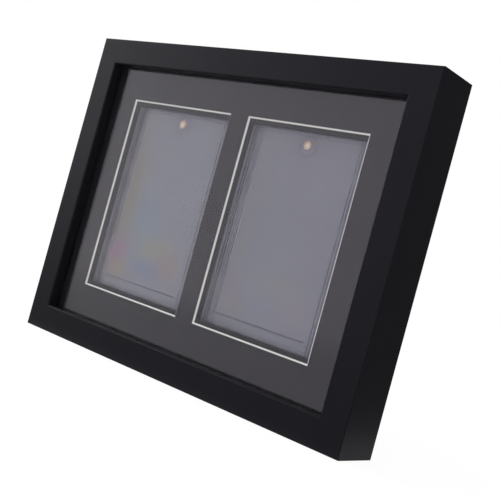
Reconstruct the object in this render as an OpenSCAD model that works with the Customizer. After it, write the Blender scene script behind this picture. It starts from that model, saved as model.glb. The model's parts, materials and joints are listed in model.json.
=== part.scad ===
// Two-card display case: a mitred shadow-box frame that holds glazing, a mat
// with two bevelled windows and two clear magnetic card holders in a foam tray.
// Millimetres, Z up, the front towards -Y. The origin is the middle of the
// case's underside, halfway between its front and its rearmost hardware.

/* [Frame] */
// Width of the frame
frame_w = 252; // [236:1:340]
// Height of the frame
frame_h = 192; // [176:1:280]
// Depth of the frame from front to back
frame_d = 30; // [27:0.5:44]
// Width of the moulding's front face
face_w = 16; // [13:0.5:20]
// Thickness of the moulding's side wall
rail_t = 10; // [8:0.5:12]
// Thickness of the front lip, from the front face to the glazing
lip_t = 6.5; // [4.5:0.5:9]
// Radius of the lip's inner front edge
lip_edge_r = 1; // [0.4:0.1:2]
// Radius of the moulding's other long edges
edge_r = 0.6; // [0.2:0.1:1]

/* [Corner nails] */
// Length of each leg of a V nail
nail_leg = 4.6; // [3:0.1:5]
// Thickness of the V nail's strip
nail_t = 0.6; // [0.4:0.1:1]
// Depth that a V nail is driven in from the back
nail_depth = 8; // [5:0.5:10]
// Angle between each leg and the square to the mitre
nail_lean = 28; // [0:1:40]

/* [Glazing and mat] */
// Thickness of the glazing
glazing_t = 1.5; // [1.2:0.1:3]
// Thickness of the mat's black face paper
facing_t = 0.2; // [0.15:0.05:0.4]
// Thickness of the mat's white core
core_t = 0.85; // [0.8:0.05:2]
// Space between the two windows, at the mat's front
window_gap = 13.4; // [11:0.1:24]
// How far a window's front edge lies outside the holder's sides
window_side_margin = 0.75; // [0.5:0.05:2]
// How far a window's front edge lies above and below the holder
window_end_margin = 2; // [0.5:0.05:3]
// Thickness of the foam-board spacer behind the mat
spacer_t = 3.85; // [3:0.05:5]
// How far the spacer laps over each side of a holder
spacer_side_lap = 0.3; // [0.2:0.1:1]
// How far the spacer laps over a holder's upper and lower ends
spacer_end_lap = 1.2; // [0.2:0.1:1.6]

/* [Card holders] */
// Width of a card
card_w = 63.5; // [60:0.5:66]
// Height of a card
card_h = 88.9; // [86:0.1:92]
// Room round the card in its recess, on each side
card_gap = 0.8; // [0.3:0.1:1.2]
// Depth of the card's recess
card_depth = 0.9; // [0.5:0.1:0.95]
// How far the finger reliefs are narrower than the card, on each side
finger_shoulder = 1; // [1:0.5:6]
// Width of the raised panel left between the upper finger relief and the boss
finger_wall = 0.7; // [0.5:0.1:4]
// Height of the finger relief below the card
finger_below = 2.2; // [1:0.1:4]
// Radius of the finger reliefs' corners
finger_r = 1; // [0.5:0.1:1]
// Height of the recess above the holder's lower edge
card_rise = 9.8; // [8:0.1:12]
// Width of a holder
holder_w = 82; // [78:0.5:84]
// Height of a holder
holder_h = 117; // [114:0.5:120]
// Radius of a holder's corners
holder_r = 2; // [1:0.5:3]
// Thickness of the front half, the lid
lid_t = 4; // [3.5:0.1:5]
// Thickness of the rear half, the base
base_t = 4.5; // [4:0.1:6]
// Chamfer round the lid's front
lid_chamfer = 1; // [0.5:0.1:2]
// Chamfer round the base's back
base_chamfer = 0.8; // [0.3:0.1:2]
// Width of the rim where the two halves meet
rim_w = 3.5; // [3:0.1:4]
// How far the base's raised panel stands into the lid
panel_rise = 1; // [1:0.1:1.4]
// Diameter of the boss that locates the lid round the magnets
boss_d = 10; // [9:0.5:12]
// How far the boss stands above the raised panel
boss_rise = 0.4; // [0.2:0.1:0.6]
// Diameter of a magnet
magnet_d = 6; // [4:0.5:8]
// Thickness of a magnet
magnet_t = 1.5; // [1:0.1:1.5]
// Distance of the magnets from the holder's upper edge
magnet_drop = 8; // [7.2:0.1:9]
// Width of each hook on the lid's lower edge
hook_w = 6.7; // [4:0.1:9]
// Distance of the hooks from the holder's sides
hook_inset = 4.6; // [3:0.1:8]
// How far the hooks reach into the base
hook_reach = 2.2; // [2:0.1:2.5]
// Height of a hook's stem above the holder's lower edge
hook_stem = 1.2; // [1:0.1:1.4]
// Height of the hook's nose above its stem
hook_nose = 0.8; // [0.5:0.1:1]

/* [Backing] */
// Thickness of the back panel
panel_t = 3; // [2.5:0.1:4]
// Radius of the back panel's corners
panel_r = 2; // [0.5:0.5:4]

/* [Turn buttons] */
// Width of a turn button
button_w = 9; // [7:0.5:9.5]
// Length of a turn button from its pivot to its tip
button_reach = 15; // [12:0.5:22]
// Thickness of a turn button
button_t = 1.2; // [0.8:0.1:2]
// Distance of the turn buttons' pivots from the rails' outer faces
button_inset = 5.6; // [5:0.1:6]
// Distance of the upper and lower turn buttons from the middle
button_x = 70; // [40:1:85]
// Diameter of the screw's shank
screw_d = 4; // [3:0.1:4.5]
// Diameter of the screw's head
head_d = 7; // [6.5:0.1:9]
// Height of the screw's head
head_h = 1.6; // [1:0.1:2.5]
// Length of the screw in the rail
screw_length = 11; // [8:0.5:14]

/* [Wall hangers] */
// Diameter of the ring's wire
wire_d = 2; // [1.5:0.1:2.5]
// Width of the ring between the middles of its legs
ring_w = 16; // [15:0.5:20]
// Length of the ring's straight legs
ring_leg = 3; // [2:0.5:6]
// Width of the strap
strap_w = 10; // [8:0.5:11]
// Thickness of the strap
strap_t = 0.8; // [0.6:0.1:1]
// Length of the strap below the ring's pivot
strap_length = 15; // [14:0.5:20]
// Distance of the rivet from the ring's pivot
rivet_drop = 6; // [5.5:0.1:7]
// Diameter of the rivet's head
rivet_head_d = 6; // [5:0.1:7]
// Height of the rivet's head
rivet_head_h = 1.2; // [0.8:0.1:1.5]
// Diameter of the rivet's shank
rivet_d = 3; // [2.5:0.1:4]
// Diameter of the flange inside the panel
flange_d = 5.4; // [4.5:0.1:6]
// Thickness of the flange inside the panel
flange_t = 0.6; // [0.4:0.1:1]
// Distance of the upper ring's pivot from the frame's top
top_hanger_drop = 22; // [18:0.5:40]
// Distance of the side ring's pivot from the frame's side
side_hanger_drop = 38; // [36:0.5:60]

/* [Clearances] */
// Room round the glazing, mat, foam and back panel inside the rails
edge_gap = 0.5; // [0.2:0.1:0.9]
// Room round a holder in its pocket
pocket_gap = 0.3; // [0.1:0.1:0.6]
// Room between the two halves of a holder, sideways
mate_gap = 0.1; // [0.05:0.05:0.2]
// Radial room round a pin or screw that something turns on
running_gap = 0.05; // [0.02:0.01:0.1]
// Radial room round what is driven or glued in
seat_gap = 0.02; // [0.01:0.01:0.05]
// Air between a clear piece and what lies in front of it or behind it
air_gap = 0.05; // [0.02:0.01:0.15]

/* [Hidden] */
$fn = 48;

// How far a cutting shape runs past what it cuts
over = 1;

LEFT = -1;
RIGHT = 1;

// The rear hardware: the screw heads and the rings stand behind the frame
roll_r = wire_d / 2 + running_gap + strap_t;
ring_back = roll_r + wire_d / 2;
screw_back = running_gap + button_t + running_gap + head_h;
rivet_back = strap_t + rivet_head_h;
rear_reach = max(ring_back, screw_back, rivet_back, 2 * roll_r);

// Depths of the layers behind the frame's front face
mat_t = facing_t + core_t;
holder_t = lid_t + air_gap + base_t;
mat_depth = lip_t + glazing_t + air_gap;
core_depth = mat_depth + facing_t;
spacer_depth = core_depth + core_t;
tray_depth = spacer_depth + spacer_t;
tray_t = air_gap + holder_t + air_gap;
pad_depth = tray_depth + tray_t;
panel_depth = frame_d - panel_t;
pad_t = panel_depth - pad_depth;

// The frame's front face, its back face and its middle height
front_y = -(frame_d + rear_reach) / 2;
back_y = front_y + frame_d;
mid_z = frame_h / 2;

// Flat pieces that lie inside the rails
sheet_w = frame_w - 2 * (rail_t + edge_gap);
sheet_h = frame_h - 2 * (rail_t + edge_gap);

// The windows, the pockets behind them and the holders in the pockets
window_w = holder_w + 2 * window_side_margin;
window_h = holder_h + 2 * window_end_margin;
window_x = (window_gap + window_w) / 2;
holder_z = mid_z - holder_h / 2 - pocket_gap + air_gap;

// Inside a holder, from its own front face: where the base's rim, its raised
// panel and its boss begin, each one air gap behind the lid's own face there
base_depth = lid_t + air_gap;
raised_depth = base_depth - panel_rise;
boss_depth = raised_depth - boss_rise;
magnet_z = holder_h - magnet_drop;

// The middle of the side walls, where the nails go in
wall_mid = rail_t / 2;

// A flat shape drawn as the case is seen from the front, from one depth back
module upright(depth, thickness) {
    translate([0, front_y + depth + thickness, 0])
        rotate([90, 0, 0])
            linear_extrude(thickness)
                children();
}

// A rectangle with round corners, standing on the X axis
module rounded_rect(w, h, r) {
    translate([-w / 2 + r, 0])
        square([w - 2 * r, h]);
    translate([-w / 2, r])
        square([w, h - 2 * r]);
    for (x = [-1, 1], z = [0, 1])
        translate([x * (w / 2 - r), z == 0 ? r : h - r])
            circle(r);
}

// What a rounded edge leaves out of a square corner that points at the origin
module edge_cut(r) {
    difference() {
        translate([-over, -over])
            square(r + over);
        translate([r, r])
            circle(r);
    }
}

// One plain sheet as large as the inside of the rails
module sheet(depth, thickness) {
    translate([-sheet_w / 2, front_y + depth, mid_z - sheet_h / 2])
        cube([sheet_w, thickness, sheet_h]);
}

// A straight opening of the given size through a layer, at both windows
module both_openings(w, h, depth, thickness) {
    for (side = [LEFT, RIGHT])
        translate([side * window_x - w / 2, front_y + depth - over, mid_z - h / 2])
            cube([w, thickness + 2 * over, h]);
}

// Section of the moulding: across its depth, then inwards from its outer face
module moulding_section() {
    difference() {
        translate([front_y, 0])
            square([frame_d, face_w]);
        translate([front_y + lip_t, rail_t])
            square([frame_d - lip_t + over, face_w - rail_t + over]);
        translate([front_y, 0])
            edge_cut(edge_r);
        translate([back_y, 0])
            mirror([1, 0])
                edge_cut(edge_r);
        translate([front_y, face_w])
            mirror([0, 1])
                edge_cut(lip_edge_r);
        translate([front_y + lip_t, face_w])
            rotate(180)
                edge_cut(edge_r);
    }
}

// One mitred rail that lies along X with its outer face down
module rail(length) {
    intersection() {
        rotate([90, 0, 90])
            linear_extrude(length, center = true)
                moulding_section();
        translate([0, back_y + over, 0])
            rotate([90, 0, 0])
                linear_extrude(frame_d + 2 * over)
                    polygon([
                        [-length / 2, 0],
                        [length / 2, 0],
                        [length / 2 - face_w, face_w],
                        [-length / 2 + face_w, face_w]
                    ]);
    }
}

// A V nail's outline, its tip on the mitre and pointing outwards along X
module nail_outline(gap) {
    for (turn = [90 + nail_lean, -90 - nail_lean])
        rotate(turn)
            translate([0, -nail_t / 2 - gap])
                square([nail_leg + gap, nail_t + 2 * gap]);
    circle(d = nail_t + 2 * gap);
}

// The four V nails, or with a gap the slots for them, open at the back
module nails(gap) {
    past = gap > 0 ? over : 0;
    for (x = [-1, 1], z = [-1, 1])
        translate([x * (frame_w / 2 - wall_mid), 0, mid_z + z * (mid_z - wall_mid)])
            upright(frame_d - nail_depth, nail_depth + past)
                rotate(atan2(z, x))
                    nail_outline(gap);
}

// Where each turn button pivots, and which way it points when closed
function button_places() = [
    [-button_x, frame_h - button_inset, 180],
    [button_x, frame_h - button_inset, 180],
    [-button_x, button_inset, 0],
    [button_x, button_inset, 0],
    [-frame_w / 2 + button_inset, mid_z, 90],
    [frame_w / 2 - button_inset, mid_z, -90]
];

// Brings a piece drawn with its pivot at the origin, on the XY plane and
// pointing along +Y, to the back of the rails
module at_button(place) {
    translate([place[0], back_y, place[1]])
        rotate([0, place[2], 0])
            rotate([90, 0, 0])
                mirror([0, 0, 1])
                    children();
}

module screw_holes() {
    for (place = button_places())
        at_button(place)
            translate([0, 0, -screw_length])
                cylinder(d = screw_d + 2 * seat_gap, h = screw_length + over);
}

// A rail with its nail slots and screw holes
module finished_rail() {
    color("#232225")
        difference() {
            children();
            nails(seat_gap);
            screw_holes();
        }
}

module bottom_rail() {
    finished_rail()
        rail(frame_w);
}

module top_rail() {
    finished_rail()
        translate([0, 0, frame_h])
            mirror([0, 0, 1])
                rail(frame_w);
}

module left_rail() {
    finished_rail()
        translate([-frame_w / 2, 0, mid_z])
            rotate([0, 90, 0])
                rail(frame_h);
}

module right_rail() {
    finished_rail()
        translate([frame_w / 2, 0, mid_z])
            rotate([0, -90, 0])
                rail(frame_h);
}

module corner_v_nails() {
    color("#8d8f92")
        nails(0);
}

module glazing() {
    color("#dfe6ea", 0.35)
        sheet(lip_t, glazing_t);
}

// What a 45 degree cutter takes out of the mat at one window, in plan
module bevel_section(size) {
    polygon([
        [-over, -size / 2 - over],
        [-over, size / 2 + over],
        [mat_t + over, size / 2 - mat_t - over],
        [mat_t + over, -size / 2 + mat_t + over]
    ]);
}

// Both windows as four sloping cuts each, widest at the mat's front
module window_cuts() {
    for (side = [LEFT, RIGHT])
        translate([side * window_x, front_y + mat_depth, mid_z])
            intersection() {
                rotate([0, 0, 90])
                    linear_extrude(window_h + 4 * over, center = true)
                        bevel_section(window_w);
                rotate([90, 0, 90])
                    linear_extrude(window_w + 4 * over, center = true)
                        bevel_section(window_h);
            }
}

module mat_facing() {
    color("#2a292c")
        difference() {
            sheet(mat_depth, facing_t);
            window_cuts();
        }
}

module mat_core() {
    color("#e4e1db")
        difference() {
            sheet(core_depth, core_t);
            window_cuts();
        }
}

module window_spacer() {
    color("#1c1b1d")
        difference() {
            sheet(spacer_depth, spacer_t);
            both_openings(
                holder_w - 2 * spacer_side_lap,
                holder_h - 2 * spacer_end_lap,
                spacer_depth,
                spacer_t
            );
        }
}

module holder_tray() {
    color("#222124")
        difference() {
            sheet(tray_depth, tray_t);
            both_openings(
                holder_w + 2 * pocket_gap, holder_h + 2 * pocket_gap, tray_depth, tray_t
            );
        }
}

// Brings a holder drawn with its lower front edge on the X axis to its pocket
module in_pocket(side) {
    translate([side * window_x, front_y + tray_depth + air_gap, holder_z])
        children();
}

// A holder's plate from one depth to another, less a margin all round
module holder_slab(from, to, margin, r) {
    translate([0, to, margin])
        rotate([90, 0, 0])
            linear_extrude(to - from)
                rounded_rect(holder_w - 2 * margin, holder_h - 2 * margin, r);
}

// A holder's outline with its edges chamfered at the depth "face"; the plate
// lies behind that face where "inward" is 1 and in front of it where it is -1
module chamfered_plate(face, inward, thickness, chamfer) {
    near = face;
    bend = face + inward * chamfer;
    far = face + inward * thickness;
    half = holder_w / 2;
    intersection() {
        holder_slab(min(near, far), max(near, far), 0, holder_r);
        linear_extrude(holder_h)
            polygon([
                [-half + chamfer, near], [half - chamfer, near], [half, bend],
                [half, far], [-half, far], [-half, bend]
            ]);
        rotate([90, 0, 90])
            linear_extrude(holder_w, center = true)
                polygon([
                    [near, chamfer], [bend, 0], [far, 0],
                    [far, holder_h], [bend, holder_h], [near, holder_h - chamfer]
                ]);
    }
}

// A round shape on the magnets' axis, from one depth of the holder to another
module magnet_round(d, from, to) {
    translate([0, to, magnet_z])
        rotate([90, 0, 0])
            cylinder(d = d, h = to - from);
}

// The hooks on the lid's lower edge, or the slots for them when given a gap
module hooks(gap) {
    nose_depth = lid_t + air_gap + hook_reach / 2;
    floor_cut = gap > 0 ? over : 0;
    for (side = [LEFT, RIGHT])
        translate([side * (holder_w / 2 - hook_inset - hook_w / 2) - hook_w / 2 - gap, 0, 0]) {
            translate([0, lid_t - over / 2, -floor_cut])
                cube([hook_w + 2 * gap, hook_reach + over / 2 + gap, hook_stem + floor_cut + gap]);
            translate([0, nose_depth - gap, 0])
                cube([
                    hook_w + 2 * gap,
                    lid_t + hook_reach - nose_depth + 2 * gap,
                    hook_stem + hook_nose + gap
                ]);
        }
}

// The front half: a plate with a pocket behind it for the base's raised panel
module holder_lid() {
    color("#c9cdd6", 0.4) {
        difference() {
            chamfered_plate(0, 1, lid_t, lid_chamfer);
            holder_slab(raised_depth - air_gap, lid_t + over, rim_w, holder_r);
            magnet_round(boss_d + 2 * mate_gap, boss_depth - air_gap, lid_t + over);
            magnet_round(magnet_d + 2 * seat_gap, boss_depth - magnet_t - 2 * air_gap, lid_t);
        }
        hooks(0);
    }
}

// The card's recess, which runs on past the card's ends, narrower than the
// card, so that a fingertip gets under its edge
module card_recess() {
    w = card_w + 2 * card_gap;
    h = card_h + 2 * card_gap;
    relief_top = magnet_z - boss_d / 2 - finger_wall - card_rise;
    translate([0, raised_depth + card_depth, card_rise])
        rotate([90, 0, 0])
            linear_extrude(card_depth + over) {
                translate([-w / 2, 0])
                    square([w, h]);
                translate([0, -finger_below])
                    rounded_rect(
                        card_w - 2 * finger_shoulder,
                        relief_top + finger_below,
                        finger_r
                    );
            }
}

// The rear half, with the raised panel, the boss and the recess for the card
module holder_base() {
    color("#b9bec9", 0.5)
        difference() {
            union() {
                chamfered_plate(holder_t, -1, base_t, base_chamfer);
                holder_slab(raised_depth, holder_t - base_chamfer, rim_w + mate_gap, holder_r - mate_gap);
                magnet_round(boss_d, boss_depth, holder_t - base_chamfer);
            }
            card_recess();
            magnet_round(magnet_d + 2 * seat_gap, boss_depth - over, boss_depth + magnet_t + air_gap);
            hooks(mate_gap);
        }
}

module lid_magnet() {
    color("#c9a675")
        magnet_round(magnet_d, boss_depth - magnet_t - air_gap, boss_depth - air_gap);
}

module base_magnet() {
    color("#c9a675")
        magnet_round(magnet_d, boss_depth, boss_depth + magnet_t);
}

module backing_pad() {
    color("#2b2a2d")
        sheet(pad_depth, pad_t);
}

// The back panel, with holes and counterbores for the hangers' rivets
module back_panel() {
    color("#3a3330")
        difference() {
            translate([0, 0, mid_z - sheet_h / 2])
                upright(panel_depth, panel_t)
                    rounded_rect(sheet_w, sheet_h, panel_r);
            at_both_hangers() {
                rivet_round(rivet_d + 2 * seat_gap, -panel_t - over, over);
                rivet_round(flange_d + 2 * seat_gap, -panel_t - over, -panel_t + flange_t);
            }
        }
}

// A closed turn button: a plate with round ends and a bore for its screw
module turn_button(place) {
    color("#b4b5b8")
        at_button(place)
            translate([0, 0, running_gap])
                linear_extrude(button_t)
                    difference() {
                        union() {
                            circle(d = button_w);
                            translate([-button_w / 2, 0])
                                square([button_w, button_reach - button_w / 2]);
                            translate([0, button_reach - button_w / 2])
                                circle(d = button_w);
                        }
                        circle(d = screw_d + 2 * running_gap);
                    }
}

// A pan-head screw whose shank carries the turn button
module screw(place) {
    under_head = button_t + 2 * running_gap;
    tip_h = screw_d / 2;
    at_button(place)
        rotate_extrude()
            difference() {
                polygon([
                    [0, -screw_length],
                    [screw_d / 2, -screw_length + tip_h],
                    [screw_d / 2, under_head],
                    [head_d / 2, under_head],
                    [head_d / 2, under_head + head_h],
                    [0, under_head + head_h]
                ]);
                translate([head_d / 2, under_head + head_h])
                    rotate(180)
                        edge_cut(head_h * 0.7);
            }
}

module turn_button_screws() {
    color("#c3c4c6")
        for (place = button_places())
            screw(place);
}

// Brings a hanger drawn with its pivot along X and its strap towards -Z, on
// the plane y = 0, to the panel's back
module at_top_hanger() {
    translate([0, back_y, frame_h - top_hanger_drop])
        children();
}

module at_side_hanger() {
    translate([frame_w / 2 - side_hanger_drop, back_y, mid_z])
        rotate([0, 90, 0])
            children();
}

module at_both_hangers() {
    at_top_hanger()
        children();
    at_side_hanger()
        children();
}

// A round shape on the rivet's axis, between two distances behind the panel
module rivet_round(d, from, to) {
    translate([0, to, -rivet_drop])
        rotate([90, 0, 0])
            cylinder(d = d, h = to - from);
}

// The strap: a strip with a round end, rolled round the ring's bar
module hanger_strap() {
    color("#c9a55c")
        difference() {
            union() {
                translate([0, roll_r, 0])
                    rotate([0, 90, 0])
                        cylinder(r = roll_r, h = strap_w, center = true);
                translate([0, strap_t, -strap_length])
                    rotate([90, 0, 0])
                        linear_extrude(strap_t) {
                            translate([0, strap_w / 2])
                                circle(d = strap_w);
                            translate([-strap_w / 2, strap_w / 2])
                                square([strap_w, strap_length - strap_w / 2]);
                        }
            }
            translate([0, roll_r, 0])
                rotate([0, 90, 0])
                    cylinder(r = roll_r - strap_t, h = strap_w + 2 * over, center = true);
            rivet_round(rivet_d + 2 * seat_gap, -over, strap_t + over);
        }
}

// The D ring, hanging down: a bar, two legs and a half circle of wire
module hanging_ring() {
    half = ring_w / 2;
    color("#c2c3c6")
        translate([0, roll_r, 0]) {
            rotate([0, 90, 0])
                cylinder(d = wire_d, h = ring_w, center = true);
            for (x = [-half, half])
                translate([x, 0, 0]) {
                    sphere(d = wire_d);
                    translate([0, 0, -ring_leg])
                        cylinder(d = wire_d, h = ring_leg);
                }
            translate([0, 0, -ring_leg])
                rotate([90, 0, 0])
                    rotate([0, 0, 180])
                        rotate_extrude(angle = 180)
                            translate([half, 0])
                                circle(d = wire_d);
        }
}

// The hollow rivet: a domed head on the strap, a flange inside the panel
module rivet() {
    translate([0, 0, -rivet_drop])
        rotate([90, 0, 0])
            mirror([0, 0, 1])
                rotate_extrude()
                    difference() {
                        polygon([
                            [0, -panel_t],
                            [flange_d / 2, -panel_t],
                            [flange_d / 2, -panel_t + flange_t],
                            [rivet_d / 2, -panel_t + flange_t],
                            [rivet_d / 2, strap_t],
                            [rivet_head_d / 2, strap_t],
                            [rivet_head_d / 2, strap_t + rivet_head_h],
                            [0, strap_t + rivet_head_h]
                        ]);
                        translate([rivet_head_d / 2, strap_t + rivet_head_h])
                            rotate(180)
                                edge_cut(rivet_head_h * 0.8);
                    }
}

module hanger_rivets() {
    color("#d0b070")
        at_both_hangers()
            rivet();
}

top_rail();
bottom_rail();
left_rail();
right_rail();
corner_v_nails();
glazing();
mat_facing();
mat_core();
window_spacer();
holder_tray();
in_pocket(LEFT) holder_base();  // left_holder_base
in_pocket(RIGHT) holder_base();  // right_holder_base
in_pocket(LEFT) holder_lid();  // left_holder_lid
in_pocket(RIGHT) holder_lid();  // right_holder_lid
in_pocket(LEFT) base_magnet();  // left_base_magnet
in_pocket(RIGHT) base_magnet();  // right_base_magnet
in_pocket(LEFT) lid_magnet();  // left_lid_magnet
in_pocket(RIGHT) lid_magnet();  // right_lid_magnet
backing_pad();
back_panel();
turn_button(button_places()[0]);  // top_left_turn_button
turn_button(button_places()[1]);  // top_right_turn_button
turn_button(button_places()[2]);  // bottom_left_turn_button
turn_button(button_places()[3]);  // bottom_right_turn_button
turn_button(button_places()[4]);  // left_turn_button
turn_button(button_places()[5]);  // right_turn_button
turn_button_screws();
at_top_hanger() hanger_strap();  // top_hanger_strap
at_top_hanger() hanging_ring();  // top_hanging_ring
at_side_hanger() hanger_strap();  // side_hanger_strap
at_side_hanger() hanging_ring();  // side_hanging_ring
hanger_rivets();
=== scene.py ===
# A black box frame for two trading cards: glazing, a mat with two bevelled
# windows, and two clear magnetic holders in a foam tray.
import json
import math

import bmesh
import bpy
from mathutils import Matrix, Vector


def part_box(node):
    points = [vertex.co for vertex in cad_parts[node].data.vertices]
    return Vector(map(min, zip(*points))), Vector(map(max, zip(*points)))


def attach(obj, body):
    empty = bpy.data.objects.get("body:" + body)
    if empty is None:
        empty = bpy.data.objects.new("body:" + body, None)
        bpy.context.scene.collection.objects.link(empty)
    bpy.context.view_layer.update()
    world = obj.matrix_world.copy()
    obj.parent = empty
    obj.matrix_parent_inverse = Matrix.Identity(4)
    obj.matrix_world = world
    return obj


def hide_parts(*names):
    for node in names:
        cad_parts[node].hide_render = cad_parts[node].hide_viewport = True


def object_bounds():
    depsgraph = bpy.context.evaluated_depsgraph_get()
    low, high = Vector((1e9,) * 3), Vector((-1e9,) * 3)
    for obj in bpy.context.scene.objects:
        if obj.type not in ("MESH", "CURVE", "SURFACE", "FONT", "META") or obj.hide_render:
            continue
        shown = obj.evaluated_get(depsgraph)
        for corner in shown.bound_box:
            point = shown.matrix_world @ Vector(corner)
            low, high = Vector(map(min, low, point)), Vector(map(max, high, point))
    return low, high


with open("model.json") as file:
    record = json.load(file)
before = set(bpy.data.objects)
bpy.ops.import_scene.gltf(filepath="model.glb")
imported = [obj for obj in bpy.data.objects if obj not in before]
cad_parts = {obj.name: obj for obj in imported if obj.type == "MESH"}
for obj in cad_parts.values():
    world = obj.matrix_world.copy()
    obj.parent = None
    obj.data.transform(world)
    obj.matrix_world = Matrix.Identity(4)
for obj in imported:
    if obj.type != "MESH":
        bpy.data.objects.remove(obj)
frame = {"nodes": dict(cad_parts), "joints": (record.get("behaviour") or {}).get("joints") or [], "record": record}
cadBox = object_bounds()
nodes = frame["nodes"]
record = frame["record"]
scene = bpy.context.scene
mm = 0.001
plainWhite = (1, 1, 1, 1)
print("frame loaded with", len(nodes), "nodes")

caseLow, caseHigh = cadBox
caseMiddle = (caseLow + caseHigh) / 2
frontCentre = Vector((caseMiddle.x, caseLow.y, caseMiddle.z))

# The camera stands low to the right, close to the case, and is turned about
# its own axis, so the case leans clockwise in the picture. Millimetres from
# the middle of the case's front face, and degrees.
camera = {
    "place": (346.6, -362.1, -10.3),
    "aim": (41.0, 0, -3.7),
    "roll": 15.37,
    "lens": 64.43,
    "shift": (-0.0103, -0.0296),
    "clip": 10,
}


def linkObject(name, data):
    made = bpy.data.objects.new(name, data)
    scene.collection.objects.link(made)
    return made


def meshObject(name, mesh):
    # the finished bmesh as an object of the scene
    data = bpy.data.meshes.new(name)
    mesh.to_mesh(data)
    mesh.free()
    return linkObject(name, data)


def makeCamera():
    place = frontCentre + Vector(camera["place"]) * mm
    aim = frontCentre + Vector(camera["aim"]) * mm
    level = (aim - place).to_track_quat("-Z", "Y").to_matrix().to_4x4()
    lens = bpy.data.cameras.new("camera")
    lens.lens = camera["lens"]
    lens.shift_x, lens.shift_y = camera["shift"]
    lens.clip_start = camera["clip"] * mm
    seat = linkObject("camera", lens)
    turn = Matrix.Rotation(math.radians(camera["roll"]), 4, "Z")
    seat.matrix_world = Matrix.Translation(place) @ level @ turn
    scene.camera = seat


makeCamera()
print("camera placed")


def linear(hexColour):
    # an sRGB colour such as "#c8c8c8" as the linear one that a socket takes
    parts = [int(hexColour[i:i + 2], 16) / 255 for i in (1, 3, 5)]
    toned = [c / 12.92 if c <= 0.04045 else ((c + 0.055) / 1.055) ** 2.4 for c in parts]
    return (*toned, 1)


def addNode(tree, kind, inputs=None, **settings):
    # inputs: socket name or number, and what is linked to it or set on it
    node = tree.nodes.new("ShaderNode" + kind)
    for name, value in settings.items():
        setattr(node, name, value)
    for socket, value in (inputs or {}).items():
        if isinstance(value, bpy.types.NodeSocket):
            tree.links.new(value, node.inputs[socket])
        else:
            node.inputs[socket].default_value = value
    return node


# Where a Mix node of colours takes its share and its two colours, and where it
# gives the mixed one.
mixShare, mixFirst, mixSecond, mixed = 0, 6, 7, 2


def lengthAcross(tree, away):
    # how long a stretch looks from the front
    flat = addNode(tree, "VectorMath", {0: away, 1: (1, 0, 1)}, operation="MULTIPLY")
    return addNode(tree, "VectorMath", {0: flat.outputs[0]}, operation="LENGTH").outputs["Value"]


def distanceAcross(tree, place, centre):
    # how far a place lies from the centre as seen from the front
    away = addNode(tree, "VectorMath", {0: place, 1: centre}, operation="SUBTRACT")
    return lengthAcross(tree, away.outputs[0])


def boxMiddle(name):
    low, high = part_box(name)
    return (low + high) / 2


def perMm(size):
    # the scale of a pattern on Object coordinates whose features are that wide
    return 1 / (size * mm)


# White surroundings with a softbox far to the left. Three cards that only
# reflections see keep the case dark: an upright one and a flat one behind its
# right side, both glowing an even grey, and one on the floor before the glazing
# that glows with painted shade, darker next to the case.
# Metres from the middle of the case, watts, and levels from black 0 to white 1.
studio = {
    "lightFrom": (-0.6, -0.7, 0.45),  # a direction
    "nearLevel": 0.75,
    "farLevel": 0.36,
    "softboxPlace": (-1.0, -0.42, 0.47),
    "softboxSize": (0.5, 0.9),
    "softboxPower": 4,
    "uprightCard": {"place": (0.62, 0.62, 0.1), "size": 1.2},
    "flatCard": {"place": (0.75, 0.45, -0.094), "size": 1.2},
    "gradedCard": {
        "place": (0, -0.82, -0.094),
        "size": 1.6,
        "leftEnd": -0.25,
        "rightEnd": 0.02,
        "leftLevel": 0.41,
        "rightLevel": 0.49,
        "gradedFrom": 0.25,
    },
    "floorSize": 8,
    "floorWhite": 0.94,
}


def whiteSeen(tree):
    # 1 where the camera, a reflection or a view through glass meets the background
    path = addNode(tree, "LightPath")
    direct = addNode(tree, "Math", {
        0: path.outputs["Is Camera Ray"],
        1: path.outputs["Is Glossy Ray"],
    }, operation="ADD", use_clamp=True)
    seen = addNode(tree, "Math", {
        0: direct.outputs[0],
        1: path.outputs["Is Transmission Ray"],
    }, operation="ADD", use_clamp=True)
    return seen.outputs[0]


def makeWorld():
    world = bpy.data.worlds.new("white studio")
    scene.world = world
    world.use_nodes = True
    tree = world.node_tree
    tree.nodes.clear()
    heading = addNode(tree, "VectorMath", {
        0: addNode(tree, "TexCoord").outputs["Generated"],
        1: Vector(studio["lightFrom"]).normalized(),
    }, operation="DOT_PRODUCT")
    level = addNode(tree, "MapRange", {
        "Value": heading.outputs["Value"],
        "From Min": -1,
        "From Max": 1,
        "To Min": studio["farLevel"],
        "To Max": studio["nearLevel"],
    })
    soft = addNode(tree, "Background", {"Color": plainWhite, "Strength": level.outputs["Result"]})
    white = addNode(tree, "Background", {"Color": plainWhite, "Strength": 1})
    both = addNode(tree, "MixShader", {
        0: whiteSeen(tree),
        1: soft.outputs[0],
        2: white.outputs[0],
    })
    addNode(tree, "OutputWorld", {"Surface": both.outputs[0]})


def startMaterial(name):
    material = bpy.data.materials.new(name)
    material.use_nodes = True
    material.node_tree.nodes.clear()
    return material, material.node_tree


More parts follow.
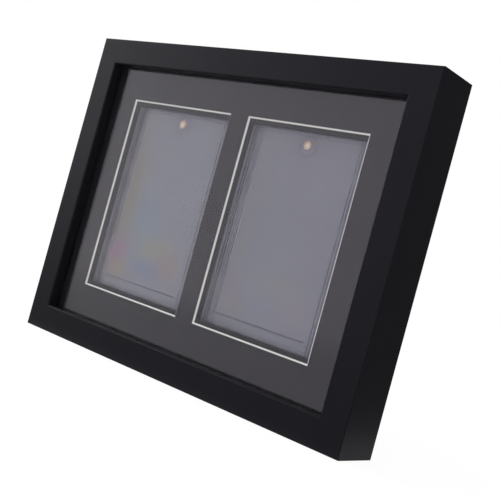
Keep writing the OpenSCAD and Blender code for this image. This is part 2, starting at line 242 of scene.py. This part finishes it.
def floorPaper():
    # white paper sweep: the camera sees it white, a little greyer in the shadow,
    # and reflections see it as plain white as the world beyond it
    material, tree = startMaterial("white paper sweep")
    glow = addNode(tree, "Emission", {"Color": plainWhite, "Strength": studio["floorWhite"]})
    shade = addNode(tree, "BsdfDiffuse", {"Color": linear("#5a5a5a")})
    shaded = addNode(tree, "AddShader", {0: glow.outputs[0], 1: shade.outputs[0]})
    plain = addNode(tree, "Emission", {"Color": plainWhite, "Strength": 1})
    seen = addNode(tree, "MixShader", {
        0: addNode(tree, "LightPath").outputs["Is Camera Ray"],
        1: plain.outputs[0],
        2: shaded.outputs[0],
    })
    paper = addNode(tree, "BsdfDiffuse", {"Color": linear("#e6e6e6")})
    both = addNode(tree, "MixShader", {0: whiteSeen(tree), 1: paper.outputs[0], 2: seen.outputs[0]})
    addNode(tree, "OutputMaterial", {"Surface": both.outputs[0]})
    return material


def greyCard():
    # grey sheet that glows evenly at a set level in place of a lit matt card; it is no lamp
    material, tree = startMaterial("grey card")
    shade = addNode(tree, "Emission", {"Color": linear("#6e6e70"), "Strength": 1})
    addNode(tree, "OutputMaterial", {"Surface": shade.outputs[0]})
    return material


def gradedCard():
    # grey card that glows with painted shade: darkest next to the case, a little
    # more so on the left, and as white as the floor at its far edge
    card = studio["gradedCard"]
    material, tree = startMaterial("graded card")
    place = addNode(tree, "TexCoord").outputs["Object"]
    fromCase = addNode(tree, "VectorMath", {
        0: place, 1: (caseMiddle.x, caseMiddle.y, caseLow.z),
    }, operation="DISTANCE")
    across = addNode(tree, "SeparateXYZ", {0: place})
    near = addNode(tree, "MapRange", {
        "Value": across.outputs["X"],
        "From Min": card["leftEnd"],
        "From Max": card["rightEnd"],
        "To Min": card["leftLevel"],
        "To Max": card["rightLevel"],
    })
    # painted shade, fading out from next to the case to the card's far edge
    level = addNode(tree, "MapRange", {
        "Value": fromCase.outputs["Value"],
        "From Min": card["gradedFrom"],
        "From Max": card["size"] / 2,
        "To Min": near.outputs["Result"],
        "To Max": studio["floorWhite"],
    }, interpolation_type="SMOOTHSTEP")
    shade = addNode(tree, "Emission", {"Color": plainWhite, "Strength": level.outputs["Result"]})
    addNode(tree, "OutputMaterial", {"Surface": shade.outputs[0]})
    return material


def makeSheet(name, size, place, material):
    # a flat square of the studio, facing along Z until it is placed
    mesh = bmesh.new()
    bmesh.ops.create_grid(mesh, x_segments=1, y_segments=1, size=size / 2)
    bmesh.ops.transform(mesh, matrix=place, verts=mesh.verts)
    sheet = meshObject(name, mesh)
    sheet.data.materials.append(material)
    return sheet


def makeCard(name, material, upright=False):
    # a sheet that shows in reflections alone
    toCard = Vector(studio[name]["place"])
    placed = Matrix.Translation(caseMiddle + toCard)
    if upright:
        placed = placed @ toCard.to_track_quat("Z", "Y").to_matrix().to_4x4()
    card = makeSheet(name, studio[name]["size"], placed, material)
    card.visible_camera = False
    card.visible_diffuse = False
    card.visible_transmission = False
    card.visible_shadow = False


def makeStudio():
    makeWorld()
    under = Matrix.Translation((caseMiddle.x, caseMiddle.y, caseLow.z))
    makeSheet("floor", studio["floorSize"], under, floorPaper())
    grey = greyCard()
    makeCard("uprightCard", grey, upright=True)
    makeCard("flatCard", grey)
    makeCard("gradedCard", gradedCard())

    lamp = bpy.data.lights.new("softbox", "AREA")
    lamp.shape = "RECTANGLE"
    lamp.size, lamp.size_y = studio["softboxSize"]
    lamp.energy = studio["softboxPower"]
    toLamp = Vector(studio["softboxPlace"])
    seat = linkObject("softbox", lamp)
    aim = (-toLamp).to_track_quat("-Z", "Y").to_matrix().to_4x4()
    seat.matrix_world = Matrix.Translation(caseMiddle + toLamp) @ aim
    seat.visible_transmission = False  # no glare from inside the clear pieces


makeStudio()
scene.view_settings.view_transform = "Standard"
# the clear layers are deep: six faces each way, and what they throw back and forth
clearBounces = 24
scene.cycles.max_bounces = clearBounces
scene.cycles.transmission_bounces = clearBounces
scene.cycles.transparent_max_bounces = clearBounces
scene.cycles.glossy_bounces = 8
print("studio lit")


def satinBlackLacquer():
    # sprayed over sealed wood fibre: deep black with a broad soft sheen, and a
    # faint orange peel that breaks it up
    material, tree = startMaterial("satin black lacquer")
    place = addNode(tree, "TexCoord").outputs["Object"]
    peel = addNode(tree, "TexNoise", {"Vector": place, "Scale": perMm(1.1), "Detail": 3})
    cloud = addNode(tree, "TexNoise", {"Vector": place, "Scale": perMm(30), "Detail": 2})
    tone = addNode(tree, "Mix", {
        mixShare: cloud.outputs["Fac"], mixFirst: linear("#18171b"), mixSecond: linear("#1d1c21"),
    }, data_type="RGBA")
    sheen = addNode(tree, "MapRange", {
        "Value": peel.outputs["Fac"], "From Min": 0.3, "From Max": 0.7, "To Min": 0.4, "To Max": 0.48,
    })
    relief = addNode(tree, "Bump", {
        "Height": peel.outputs["Fac"], "Strength": 0.25, "Distance": 0.02 * mm,
    })
    shader = addNode(tree, "BsdfPrincipled", {
        "Base Color": tone.outputs[mixed],
        "Roughness": sheen.outputs["Result"],
        "Specular IOR Level": 0.1,
        "Specular Tint": linear("#eeeaff"),
        "Normal": relief.outputs["Normal"],
    })
    addNode(tree, "OutputMaterial", {"Surface": shader.outputs[0]})
    return material


def letLampsThrough(tree, shader):
    # shadow rays pass, so that what lies behind the clear piece is lit
    path = addNode(tree, "LightPath")
    clear = addNode(tree, "BsdfTransparent", {"Color": linear("#fafafb")})
    both = addNode(tree, "MixShader", {
        0: path.outputs["Is Shadow Ray"], 1: shader.outputs[0], 2: clear.outputs[0],
    })
    addNode(tree, "OutputMaterial", {"Surface": both.outputs[0]})


def clearGlazingSheet():
    # cast acrylic sheet, polished: a clean grey reflection, and wiped smears
    # that dim what lies behind it a little
    material, tree = startMaterial("clear acrylic sheet")
    place = addNode(tree, "TexCoord").outputs["Object"]
    smear = addNode(tree, "TexNoise", {"Vector": place, "Scale": perMm(40), "Detail": 4})
    wiped = addNode(tree, "MapRange", {"Value": smear.outputs["Fac"], "From Min": 0.35, "From Max": 0.75})
    tone = addNode(tree, "Mix", {
        mixShare: wiped.outputs["Result"], mixFirst: linear("#fcfdfd"), mixSecond: linear("#f7f8f9"),
    }, data_type="RGBA")
    shader = addNode(tree, "BsdfPrincipled", {
        "Base Color": tone.outputs[mixed],
        "Roughness": 0,
        "IOR": 1.46,
        "Specular Tint": linear("#f1e8f8"),
        "Transmission Weight": 1,
    })
    letLampsThrough(tree, shader)
    return material


# Where moulding stress tints a holder and its film: millimetres from the
# holder's middle, the patch's half width and half height, and its colour. The
# left holder shows it most.
stress = {
    "inAcrylic": {"left": 0.5, "right": 0.15},
    "inFilm": {"left": 1, "right": 0.3},
    "clear": "#eff0fb",  # where no patch reaches
    "wander": 7,  # how far a patch is bent aside
    "wanderSize": 24,  # how wide the bends are
    "fadedAt": 1.3,  # times its reach from its middle
    "patches": [
        {"at": (-27, -2), "reach": (9, 62), "tint": "#e9e2ca"},
        {"at": (-8, -14), "reach": (17, 30), "tint": "#dcefff"},
        {"at": (-25, -33), "reach": (8, 10), "tint": "#ffc2ec"},
        {"at": (-22, -42), "reach": (9, 8), "tint": "#ffeccf"},
        {"at": (0, -40), "reach": (15, 9), "tint": "#d4e2ff"},
        {"at": (20, -36), "reach": (9, 12), "tint": "#ffe2d8"},
        {"at": (6, -26), "reach": (22, 9), "tint": "#fbf8e4"},
    ],
}


def stressTint(tree, place, middle, strength):
    # soft overlapping patches, bent by a slow noise as flow lines bend them
    bend = addNode(tree, "TexNoise", {
        "Vector": place, "Scale": perMm(stress["wanderSize"]), "Detail": 1,
    })
    drift = addNode(tree, "VectorMath", {
        0: bend.outputs["Color"], 1: (-0.5, -0.5, -0.5),
    }, operation="ADD")
    wander = addNode(tree, "VectorMath", {
        0: drift.outputs[0], 1: [2 * stress["wander"] * mm] * 3, 2: place,
    }, operation="MULTIPLY_ADD")
    colour = None
    for patch in stress["patches"]:
        x, z = patch["at"]
        wide, high = patch["reach"]
        local = addNode(tree, "Mapping", {
            "Vector": wander.outputs[0],
            "Location": (middle.x + x * mm, 0, middle.z + z * mm),
            "Scale": (wide * mm, 1, high * mm),
        }, vector_type="TEXTURE")
        share = addNode(tree, "MapRange", {
            "Value": lengthAcross(tree, local.outputs[0]),
            "From Min": stress["fadedAt"],
            "From Max": 0,
            "To Min": 0,
            "To Max": strength,
        }, interpolation_type="SMOOTHSTEP")
        colour = addNode(tree, "Mix", {
            mixShare: share.outputs["Result"],
            mixFirst: colour.outputs[mixed] if colour else linear(stress["clear"]),
            mixSecond: linear(patch["tint"]),
        }, data_type="RGBA")
    return colour.outputs[mixed]


def mouldedClearAcrylic(side):
    # injection-moulded acrylic: clear and bluish, with a thin haze in which
    # moulding stress shows as pale soft colours
    material, tree = startMaterial("moulded clear acrylic")
    place = addNode(tree, "TexCoord").outputs["Object"]
    middle = boxMiddle(side + "_holder_lid")
    shader = addNode(tree, "BsdfPrincipled", {
        "Base Color": stressTint(tree, place, middle, stress["inAcrylic"][side]),
        "Roughness": 0,
        "IOR": 1.58,
        "Specular Tint": linear("#a59fb2"),
        "Transmission Weight": 0.995,
    })
    letLampsThrough(tree, shader)
    return material


# Painted shade: fine dark lines on the film where the steps of a holder show
# through, in millimetres from its middle: upright ones, a level one that stops
# short of the sides, and a fainter ring round the magnet where its boss shows
# through, set a little sideways of it. Along their length they come and go
# between faint and full.
paintedEdgeLines = {
    "upright": (-38.2, -36.3, -34.6, -33.1, -31.6, 35.2, 36.9),
    "level": (-50.3,),
    "levelReach": 32,
    "ringRadius": 5.6,
    "ringShift": (1.5, 0, -0.8),
    "ringStrength": 0.65,
    "width": 0.8,
    "colour": "#46415c",
    "patchSize": 14,
    "patchRange": (0.3, 0.55),
    "faint": 0.4,
    "full": 1,
}


def paintedLinesOnFilm(tree, place, middle, magnet):
    # how dark the painted shade is at each place: 0 off the lines
    fromMiddle = addNode(tree, "VectorMath", {0: place, 1: middle}, operation="SUBTRACT")
    away = addNode(tree, "SeparateXYZ", {0: fromMiddle.outputs[0]})
    half = paintedEdgeLines["width"] / 2 * mm
    inReach = addNode(tree, "Math", {
        0: away.outputs["X"], 1: 0, 2: paintedEdgeLines["levelReach"] * mm,
    }, operation="COMPARE")
    ring = magnet + Vector(paintedEdgeLines["ringShift"]) * mm
    onRing = addNode(tree, "Math", {
        0: distanceAcross(tree, place, ring), 1: paintedEdgeLines["ringRadius"] * mm, 2: half,
    }, operation="COMPARE")
    total = addNode(tree, "Math", {
        0: onRing.outputs[0], 1: paintedEdgeLines["ringStrength"],
    }, operation="MULTIPLY")
    for axis, offsets in (("X", paintedEdgeLines["upright"]), ("Z", paintedEdgeLines["level"])):
        for offset in offsets:
            line = addNode(tree, "Math", {
                0: away.outputs[axis], 1: offset * mm, 2: half,
            }, operation="COMPARE")
            if axis == "Z":
                line = addNode(tree, "Math", {
                    0: line.outputs[0], 1: inReach.outputs[0],
                }, operation="MULTIPLY")
            total = addNode(tree, "Math", {
                0: total.outputs[0], 1: line.outputs[0],
            }, operation="MAXIMUM")
    patchy = addNode(tree, "TexNoise", {
        "Vector": place, "Scale": perMm(paintedEdgeLines["patchSize"]), "Detail": 2,
    })
    shown = addNode(tree, "MapRange", {
        "Value": patchy.outputs["Fac"],
        "From Min": paintedEdgeLines["patchRange"][0],
        "From Max": paintedEdgeLines["patchRange"][1],
        "To Min": paintedEdgeLines["faint"],
        "To Max": paintedEdgeLines["full"],
    })
    broken = addNode(tree, "Math", {0: total.outputs[0], 1: shown.outputs["Result"]}, operation="MULTIPLY")
    return broken.outputs[0]


def clearFilm(side):
    # the protective polyethylene film that a new holder wears: nearly clear, with
    # a soft bluish haze, pale colours where it is stretched, and fine dark lines of
    # painted shade where the holder's steps show through
    material, tree = startMaterial("clear protective film")
    place = addNode(tree, "TexCoord").outputs["Object"]
    middle = boxMiddle(side + "_holder_lid")
    tone = addNode(tree, "Mix", {
        mixShare: paintedLinesOnFilm(tree, place, middle, boxMiddle(side + "_lid_magnet")),
        mixFirst: stressTint(tree, place, middle, stress["inFilm"][side]),
        mixSecond: linear(paintedEdgeLines["colour"]),
    }, data_type="RGBA")
    shader = addNode(tree, "BsdfPrincipled", {
        "Base Color": tone.outputs[mixed],
        "Roughness": 0.6,
        "Specular IOR Level": 0,
        "Alpha": 0.069,
    })
    addNode(tree, "OutputMaterial", {"Surface": shader.outputs[0]})
    return material


def mattBlackPaper():
    # uncoated black face paper: short fibres, hardly any gloss
    material, tree = startMaterial("matt black paper")
    place = addNode(tree, "TexCoord").outputs["Object"]
    fibre = addNode(tree, "TexNoise", {"Vector": place, "Scale": perMm(0.5), "Detail": 4})
    tone = addNode(tree, "Mix", {
        mixShare: fibre.outputs["Fac"], mixFirst: linear("#131315"), mixSecond: linear("#1f1f22"),
    }, data_type="RGBA")
    relief = addNode(tree, "Bump", {"Height": fibre.outputs["Fac"], "Strength": 0.4, "Distance": 0.03 * mm})
    shader = addNode(tree, "BsdfPrincipled", {
        "Base Color": tone.outputs[mixed],
        "Roughness": 0.9,
        "Specular IOR Level": 0.2,
        "Normal": relief.outputs["Normal"],
    })
    addNode(tree, "OutputMaterial", {"Surface": shader.outputs[0]})
    return material


def cutWhiteCore():
    # mat board's pulp core where the bevel cutter went: off-white, dry, faintly layered
    material, tree = startMaterial("cut white pulp core")
    place = addNode(tree, "TexCoord").outputs["Object"]
    layers = addNode(tree, "Mapping", {"Vector": place, "Scale": (1, 12, 1)})
    fibre = addNode(tree, "TexNoise", {"Vector": layers.outputs[0], "Scale": perMm(1.4), "Detail": 4})
    tone = addNode(tree, "Mix", {
        mixShare: fibre.outputs["Fac"], mixFirst: linear("#f8f5ee"), mixSecond: linear("#fefdfa"),
    }, data_type="RGBA")
    relief = addNode(tree, "Bump", {"Height": fibre.outputs["Fac"], "Strength": 0.3, "Distance": 0.02 * mm})
    shader = addNode(tree, "BsdfPrincipled", {
        "Base Color": tone.outputs[mixed],
        "Roughness": 0.85,
        "Specular IOR Level": 0.25,
        "Normal": relief.outputs["Normal"],
    })
    addNode(tree, "OutputMaterial", {"Surface": shader.outputs[0]})
    return material


def blackFoamBoard():
    # black foam board cut with a knife: paper skin and fine foam edge
    material, tree = startMaterial("black foam board")
    place = addNode(tree, "TexCoord").outputs["Object"]
    grain = addNode(tree, "TexNoise", {"Vector": place, "Scale": perMm(0.6), "Detail": 3})
    tone = addNode(tree, "Mix", {
        mixShare: grain.outputs["Fac"], mixFirst: linear("#0e0e10"), mixSecond: linear("#18181b"),
    }, data_type="RGBA")
    relief = addNode(tree, "Bump", {"Height": grain.outputs["Fac"], "Strength": 0.4, "Distance": 0.05 * mm})
    shader = addNode(tree, "BsdfPrincipled", {
        "Base Color": tone.outputs[mixed],
        "Roughness": 0.92,
        "Specular IOR Level": 0.15,
        "Normal": relief.outputs["Normal"],
    })
    addNode(tree, "OutputMaterial", {"Surface": shader.outputs[0]})
    return material


def dieCutFoam():
    # closed-cell foam: tiny round cells that the die has cut open, each darker down
    # in its hollow as painted shade
    material, tree = startMaterial("die-cut closed-cell foam")
    place = addNode(tree, "TexCoord").outputs["Object"]
    cells = addNode(tree, "TexVoronoi", {"Vector": place, "Scale": perMm(0.45)})
    depth = addNode(tree, "MapRange", {
        "Value": cells.outputs["Distance"], "From Min": 0, "From Max": 0.6,
    })
    # painted shade: darker down in each cell's hollow
    tone = addNode(tree, "Mix", {
        mixShare: depth.outputs["Result"], mixFirst: linear("#0c0c0e"), mixSecond: linear("#1a1a1d"),
    }, data_type="RGBA")
    relief = addNode(tree, "Bump", {"Height": depth.outputs["Result"], "Strength": 0.6, "Distance": 0.1 * mm})
    shader = addNode(tree, "BsdfPrincipled", {
        "Base Color": tone.outputs[mixed],
        "Roughness": 0.9,
        "Specular IOR Level": 0.15,
        "Normal": relief.outputs["Normal"],
    })
    addNode(tree, "OutputMaterial", {"Surface": shader.outputs[0]})
    return material


# A painted highlight and painted shade on a magnet: how far the palest spot of
# the painted highlight lies off the middle, and where the tone starts to brown
# into the painted shade and is brownest. Millimetres.
highlightAndShadeTone = {"shift": (0.35, 0, -0.35), "paleTo": 0.7, "brownFrom": 2.8}


def platedMagnet():
    # nickel over copper flash, with a painted highlight that is pale and bright on
    # the crown, and painted shade that turns it browner round the rolled rim
    material, tree = startMaterial("satin plated magnet")
    crown = boxMiddle("right_lid_magnet") + Vector(highlightAndShadeTone["shift"]) * mm
    place = addNode(tree, "TexCoord").outputs["Object"]
    # the left magnet takes its tone from the right one, mirrored
    eitherSide = addNode(tree, "VectorMath", {0: place}, operation="ABSOLUTE")
    offHighlight = addNode(tree, "MapRange", {
        "Value": distanceAcross(tree, eitherSide.outputs[0], crown),
        "From Min": highlightAndShadeTone["paleTo"] * mm,
        "From Max": highlightAndShadeTone["brownFrom"] * mm,
    }, interpolation_type="SMOOTHSTEP")
    # painted highlight in the middle, painted shade towards the rim
    tone = addNode(tree, "Mix", {
        mixShare: offHighlight.outputs["Result"], mixFirst: linear("#eed09c"), mixSecond: linear("#b06c3c"),
    }, data_type="RGBA")
    grain = addNode(tree, "TexNoise", {"Vector": place, "Scale": perMm(0.8), "Detail": 3})
    dull = addNode(tree, "MapRange", {"Value": grain.outputs["Fac"], "To Min": 0.22, "To Max": 0.36})
    shader = addNode(tree, "BsdfPrincipled", {
        "Base Color": tone.outputs[mixed],
        "Metallic": 1,
        "Roughness": dull.outputs["Result"],
    })
    addNode(tree, "OutputMaterial", {"Surface": shader.outputs[0]})
    return material


def blackBackingBoard():
    # grey board with black paper pasted on: soft mottled fibres
    material, tree = startMaterial("black-faced backing board")
    place = addNode(tree, "TexCoord").outputs["Object"]
    pulp = addNode(tree, "TexNoise", {"Vector": place, "Scale": perMm(1.8), "Detail": 5})
    tone = addNode(tree, "Mix", {
        mixShare: pulp.outputs["Fac"], mixFirst: linear("#0f0f11"), mixSecond: linear("#1b1b1e"),
    }, data_type="RGBA")
    shader = addNode(tree, "BsdfPrincipled", {
        "Base Color": tone.outputs[mixed],
        "Roughness": 0.88,
        "Specular IOR Level": 0.2,
    })
    addNode(tree, "OutputMaterial", {"Surface": shader.outputs[0]})
    return material


def blackFibreBoard():
    # dyed wood-fibre board: pressed fibres show as fine paler threads
    material, tree = startMaterial("black wood-fibre board")
    place = addNode(tree, "TexCoord").outputs["Object"]
    threads = addNode(tree, "Mapping", {"Vector": place, "Scale": (1, 1, 0.25)})
    pressed = addNode(tree, "TexNoise", {
        "Vector": threads.outputs[0], "Scale": perMm(0.9), "Detail": 6, "Roughness": 0.65,
    })
    cloud = addNode(tree, "TexNoise", {"Vector": place, "Scale": perMm(18), "Detail": 2})
    dark = addNode(tree, "Mix", {
        mixShare: cloud.outputs["Fac"], mixFirst: linear("#1c1917"), mixSecond: linear("#26211e"),
    }, data_type="RGBA")
    pale = addNode(tree, "MapRange", {"Value": pressed.outputs["Fac"], "From Min": 0.55, "From Max": 0.75})
    tone = addNode(tree, "Mix", {
        mixShare: pale.outputs["Result"], mixFirst: dark.outputs[mixed], mixSecond: linear("#4a403a"),
    }, data_type="RGBA")
    relief = addNode(tree, "Bump", {"Height": pressed.outputs["Fac"], "Strength": 0.4, "Distance": 0.05 * mm})
    shader = addNode(tree, "BsdfPrincipled", {
        "Base Color": tone.outputs[mixed],
        "Roughness": 0.72,
        "Normal": relief.outputs["Normal"],
    })
    addNode(tree, "OutputMaterial", {"Surface": shader.outputs[0]})
    return material


def zincPlate():
    # bright zinc over pressed steel: cool, slightly cloudy, rolled lines
    material, tree = startMaterial("bright zinc plate")
    place = addNode(tree, "TexCoord").outputs["Object"]
    cloud = addNode(tree, "TexNoise", {"Vector": place, "Scale": perMm(3), "Detail": 3})
    grain = addNode(tree, "TexNoise", {"Vector": place, "Scale": perMm(0.25), "Detail": 2})
    tone = addNode(tree, "Mix", {
        mixShare: cloud.outputs["Fac"], mixFirst: linear("#a9adb3"), mixSecond: linear("#c9ccd0"),
    }, data_type="RGBA")
    dull = addNode(tree, "MapRange", {"Value": cloud.outputs["Fac"], "To Min": 0.25, "To Max": 0.42})
    relief = addNode(tree, "Bump", {"Height": grain.outputs["Fac"], "Strength": 0.2, "Distance": 0.02 * mm})
    shader = addNode(tree, "BsdfPrincipled", {
        "Base Color": tone.outputs[mixed],
        "Metallic": 1,
        "Roughness": dull.outputs["Result"],
        "Normal": relief.outputs["Normal"],
    })
    addNode(tree, "OutputMaterial", {"Surface": shader.outputs[0]})
    return material


def brassPlate():
    # thin brass plate over pressed steel: yellow, browner where it is thin
    material, tree = startMaterial("brass plate on steel")
    place = addNode(tree, "TexCoord").outputs["Object"]
    cloud = addNode(tree, "TexNoise", {"Vector": place, "Scale": perMm(2.5), "Detail": 4})
    tone = addNode(tree, "Mix", {
        mixShare: cloud.outputs["Fac"], mixFirst: linear("#b98f4c"), mixSecond: linear("#dfbd78"),
    }, data_type="RGBA")
    dull = addNode(tree, "MapRange", {"Value": cloud.outputs["Fac"], "To Min": 0.28, "To Max": 0.45})
    shader = addNode(tree, "BsdfPrincipled", {
        "Base Color": tone.outputs[mixed],
        "Metallic": 1,
        "Roughness": dull.outputs["Result"],
    })
    addNode(tree, "OutputMaterial", {"Surface": shader.outputs[0]})
    return material


def springSteel():
    # bare rolled steel strip, grey with fine lines from the mill
    material, tree = startMaterial("rolled spring steel")
    place = addNode(tree, "TexCoord").outputs["Object"]
    drawn = addNode(tree, "Mapping", {"Vector": place, "Scale": (1, 0.1, 1)})
    lines = addNode(tree, "TexNoise", {"Vector": drawn.outputs[0], "Scale": perMm(0.3), "Detail": 2})
    tone = addNode(tree, "Mix", {
        mixShare: lines.outputs["Fac"], mixFirst: linear("#83868a"), mixSecond: linear("#9b9ea2"),
    }, data_type="RGBA")
    shader = addNode(tree, "BsdfPrincipled", {
        "Base Color": tone.outputs[mixed], "Metallic": 1, "Roughness": 0.35,
    })
    addNode(tree, "OutputMaterial", {"Surface": shader.outputs[0]})
    return material


finishes = {
    "frame_lacquer": satinBlackLacquer(),
    "nail_steel": springSteel(),
    "clear_glazing": clearGlazingSheet(),
    "mat_paper": mattBlackPaper(),
    "mat_core": cutWhiteCore(),
    "foam_board": blackFoamBoard(),
    "tray_foam": dieCutFoam(),
    "clear_holder": mouldedClearAcrylic("right"),
    "magnet_plating": platedMagnet(),
    "backing_card": blackBackingBoard(),
    "panel_board": blackFibreBoard(),
    "zinc_steel": zincPlate(),
    "brassed_steel": brassPlate(),
}
stressedAcrylic = mouldedClearAcrylic("left")

for node in nodes.values():
    for held in node.material_slots:
        held.material = finishes[held.material.name]
print("finishes on", len(nodes), "pieces")


# Two faces that meet at more than this show a sharp edge.
sharpAngle = math.radians(20)


def addPiece(name, mesh, slot, body, *replaced):
    # the finished mesh becomes a piece of the case, flat where it is flat and
    # smooth where it is round
    piece = meshObject(name, mesh)
    piece.data.shade_smooth()
    piece.data.set_sharp_from_angle(angle=sharpAngle)
    piece.data.materials.append(finishes[slot])
    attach(piece, body)
    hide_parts(*replaced)
    return piece


# Pieces whose edges are rounded over by moulding or pressing, and the width of
# the rounding in millimetres.
softEdges = {
    "left_holder_lid": 0.2,
    "left_holder_base": 0.08,
    "right_holder_lid": 0.2,
    "right_holder_base": 0.08,
    "back_panel": 0.3,
    "top_hanger_strap": 0.15,
    "side_hanger_strap": 0.15,
    "top_left_turn_button": 0.25,
    "top_right_turn_button": 0.25,
    "bottom_left_turn_button": 0.25,
    "bottom_right_turn_button": 0.25,
    "left_turn_button": 0.25,
    "right_turn_button": 0.25,
}
# Millimetres and degrees: points closer than this are one, faces flatter than
# this are one, and edges sharper than this are rounded.
rounding = {"merge": 0.002, "flat": 0.5, "sharp": 30, "segments": 2}
slotOf = {part["node"]: part["material_slot"] for part in record["subparts"]}
bodyOf = {name: body for body, held in record["behaviour"]["bodies"].items() for name in held}


def camelCase(name):
    first, *rest = name.split("_")
    return first + "".join(word.capitalize() for word in rest)


def roundOver(mesh, corners, width, segments):
    bmesh.ops.bevel(
        mesh, geom=corners, offset=width * mm, offset_type="OFFSET", affect="EDGES",
        segments=segments, profile=0.5, material=-1, clamp_overlap=True,
    )


def makeSoftEdges():
    flat = math.radians(rounding["flat"])
    sharp = math.radians(rounding["sharp"])
    for name, width in softEdges.items():
        mesh = bmesh.new()
        mesh.from_mesh(nodes[name].data)
        bmesh.ops.remove_doubles(mesh, verts=mesh.verts, dist=rounding["merge"] * mm)
        bmesh.ops.dissolve_limit(mesh, angle_limit=flat, verts=mesh.verts, edges=mesh.edges)
        corners = [e for e in mesh.edges if e.is_manifold and e.calc_face_angle() > sharp]
        roundOver(mesh, corners, width, rounding["segments"])
        piece = addPiece(camelCase(name), mesh, slotOf[name], bodyOf[name], name)
        if name.startswith("left_holder"):
            piece.data.materials[0] = stressedAcrylic


makeSoftEdges()
print("edges rounded on", len(softEdges), "pieces")

# The film lies on the front of each lid, in millimetres, with rounded corners.
lidFilm = {
    "sideInset": 0.45,
    "endInset": 1.65,
    "thickness": 0.02,
    "gap": 0.015,
    "corner": 1.2,
    "cornerSegments": 6,
}


def makeFilms():
    for side in ("left", "right"):
        low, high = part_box(side + "_holder_lid")
        inset = Vector((2 * lidFilm["sideInset"], 0, 2 * lidFilm["endInset"])) * mm
        size = high - low - inset
        size.y = lidFilm["thickness"] * mm
        centre = (low + high) / 2
        centre.y = low.y - (lidFilm["gap"] + lidFilm["thickness"] / 2) * mm
        place = Matrix.Translation(centre)
        mesh = bmesh.new()
        bmesh.ops.create_cube(mesh, size=1)
        bmesh.ops.scale(mesh, vec=size, verts=mesh.verts)
        bmesh.ops.transform(mesh, matrix=place, verts=mesh.verts)
        corners = [e for e in mesh.edges if abs(e.verts[0].co.y - e.verts[1].co.y) > size.y / 2]
        roundOver(mesh, corners, lidFilm["corner"], lidFilm["cornerSegments"])
        piece = addPiece(side + "LidFilm", mesh, "clear_holder", "case")
        piece.data.materials[0] = clearFilm(side)


makeFilms()
print("film on both lids")

# The plated discs seen through the lids: crowned, with a rolled rim. Half of
# the section, as distance from the axis and depth behind the front, in millimetres.
lidMagnet = {
    "section": [
        (0, 0), (1.1, 0.01), (1.8, 0.05), (2.3, 0.12), (2.62, 0.24), (2.84, 0.42),
        (2.96, 0.65), (3, 0.9), (3, 1.3), (2.9, 1.45), (2.7, 1.5), (0, 1.5),
    ],
    "steps": 48,
}


# Points closer than this are one where a turned mesh meets its own start.
seamGap = 0.001 * mm


def spunMesh(section, centre, steps):
    # turns a section round the axis that runs back through the centre
    mesh = bmesh.new()
    points = [mesh.verts.new(centre + Vector((out * mm, back * mm, 0))) for out, back in section]
    edges = [mesh.edges.new(pair) for pair in zip(points, points[1:])]
    bmesh.ops.spin(
        mesh, geom=points + edges, cent=centre, axis=(0, 1, 0), angle=2 * math.pi,
        steps=steps, use_merge=True,
    )
    bmesh.ops.remove_doubles(mesh, verts=mesh.verts, dist=seamGap)
    bmesh.ops.recalc_face_normals(mesh, faces=mesh.faces)
    return mesh


def makeMagnets():
    for side in ("left", "right"):
        front = boxMiddle(side + "_lid_magnet")
        front.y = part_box(side + "_lid_magnet")[0].y
        mesh = spunMesh(lidMagnet["section"], front, lidMagnet["steps"])
        addPiece(side + "PlatedMagnet", mesh, "magnet_plating", "case", side + "_lid_magnet")


makeMagnets()
print("magnets in place")

# Pan-head screws with a cross recess. The section runs from the middle of the
# head's top inwards to the tip, in millimetres behind the rail's back.
screw = {
    "section": [
        (0, 2.9), (1.7, 2.87), (2.5, 2.72), (3.05, 2.45), (3.38, 2.05), (3.5, 1.65),
        (3.5, 1.38), (3.42, 1.3), (2, 1.3), (2, -9), (0, -11),
    ],
    "steps": 40,
    "arm": 3.9,
    "armWidth": 0.95,
    "recessDepth": 1.05,
    "taper": 0.45,  # the share of the width that is left at the bottom
    "turns": (12, 47, -20, 70, 33, -8),  # degrees, as each was driven
}


def crossCutter(centre, turn):
    # two crossed bars that narrow towards the bottom, as a driver's tip does
    mesh = bmesh.new()
    for quarter in (0, 90):
        bar = bmesh.ops.create_cube(mesh, size=1)["verts"]
        size = Vector((screw["arm"], 2 * screw["recessDepth"], screw["armWidth"])) * mm
        bmesh.ops.scale(mesh, vec=size, verts=bar)
        deep = [v for v in bar if v.co.y < 0]
        bmesh.ops.scale(mesh, vec=(screw["taper"], 1, screw["taper"]), verts=deep)
        spin = Matrix.Rotation(math.radians(turn + quarter), 4, "Y")
        bmesh.ops.transform(mesh, matrix=Matrix.Translation(centre) @ spin, verts=bar)
    return meshObject("crossCutter", mesh)


def cutCross(piece, cutter):
    cut = piece.modifiers.new("cross", "BOOLEAN")
    cut.operation = "DIFFERENCE"
    cut.solver = "EXACT"
    cut.use_self = True
    cut.object = cutter
    bpy.context.view_layer.update()
    solved = piece.evaluated_get(bpy.context.evaluated_depsgraph_get())
    made = bpy.data.meshes.new_from_object(solved)
    piece.modifiers.clear()
    piece.data = made
    bpy.data.objects.remove(cutter)


def makeScrews():
    pivots = [joint for joint in frame["joints"] if joint["name"].endswith("_pivot")]
    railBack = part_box("back_panel")[1].y
    for joint, turn in zip(pivots, screw["turns"]):
        x, _, z = joint["pos_m"]
        centre = Vector((x, railBack, z))
        mesh = spunMesh(screw["section"], centre, screw["steps"])
        name = camelCase(joint["name"].replace("turn_button_pivot", "screw"))
        piece = addPiece(name, mesh, "zinc_steel", "case", "turn_button_screws")
        top = centre + Vector((0, screw["section"][0][1] * mm, 0))
        cutCross(piece, crossCutter(top, turn))
        piece.data.set_sharp_from_angle(angle=sharpAngle)


makeScrews()
print("screws driven")
